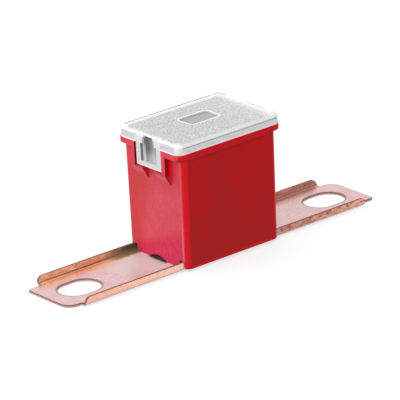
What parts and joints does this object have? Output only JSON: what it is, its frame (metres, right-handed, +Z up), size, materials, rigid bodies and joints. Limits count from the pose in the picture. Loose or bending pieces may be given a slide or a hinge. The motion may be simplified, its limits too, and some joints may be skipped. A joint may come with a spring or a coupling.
{
  "type": "automotive cartridge fuse",
  "caption": "Bolt-in cartridge fuse: red housing, translucent cover that clips on, and a folded copper strip with slotted, flanged terminals for bolting into a fuse box.",
  "frame": {"origin": "In the middle of the fuse, on the plane of the terminals' undersides, which is the plane it stands on", "axes": "+X runs along the terminals, +Y across them, +Z up to the cover"},
  "size_m": [0.058, 0.0138, 0.0197],
  "materials": {
    "housing": "moulded, satin",
    "cover": "translucent, frosted top with polished edges",
    "fuse_element": "bare copper sheet, bright",
    "solder_rivet": "dull tin solder"
  },
  "bodies": {
    "root": {"housing": "housing", "cover": "cover", "fuse_element": "fuse_element", "solder_rivet": "solder_rivet"}
  },
  "joints": []
}
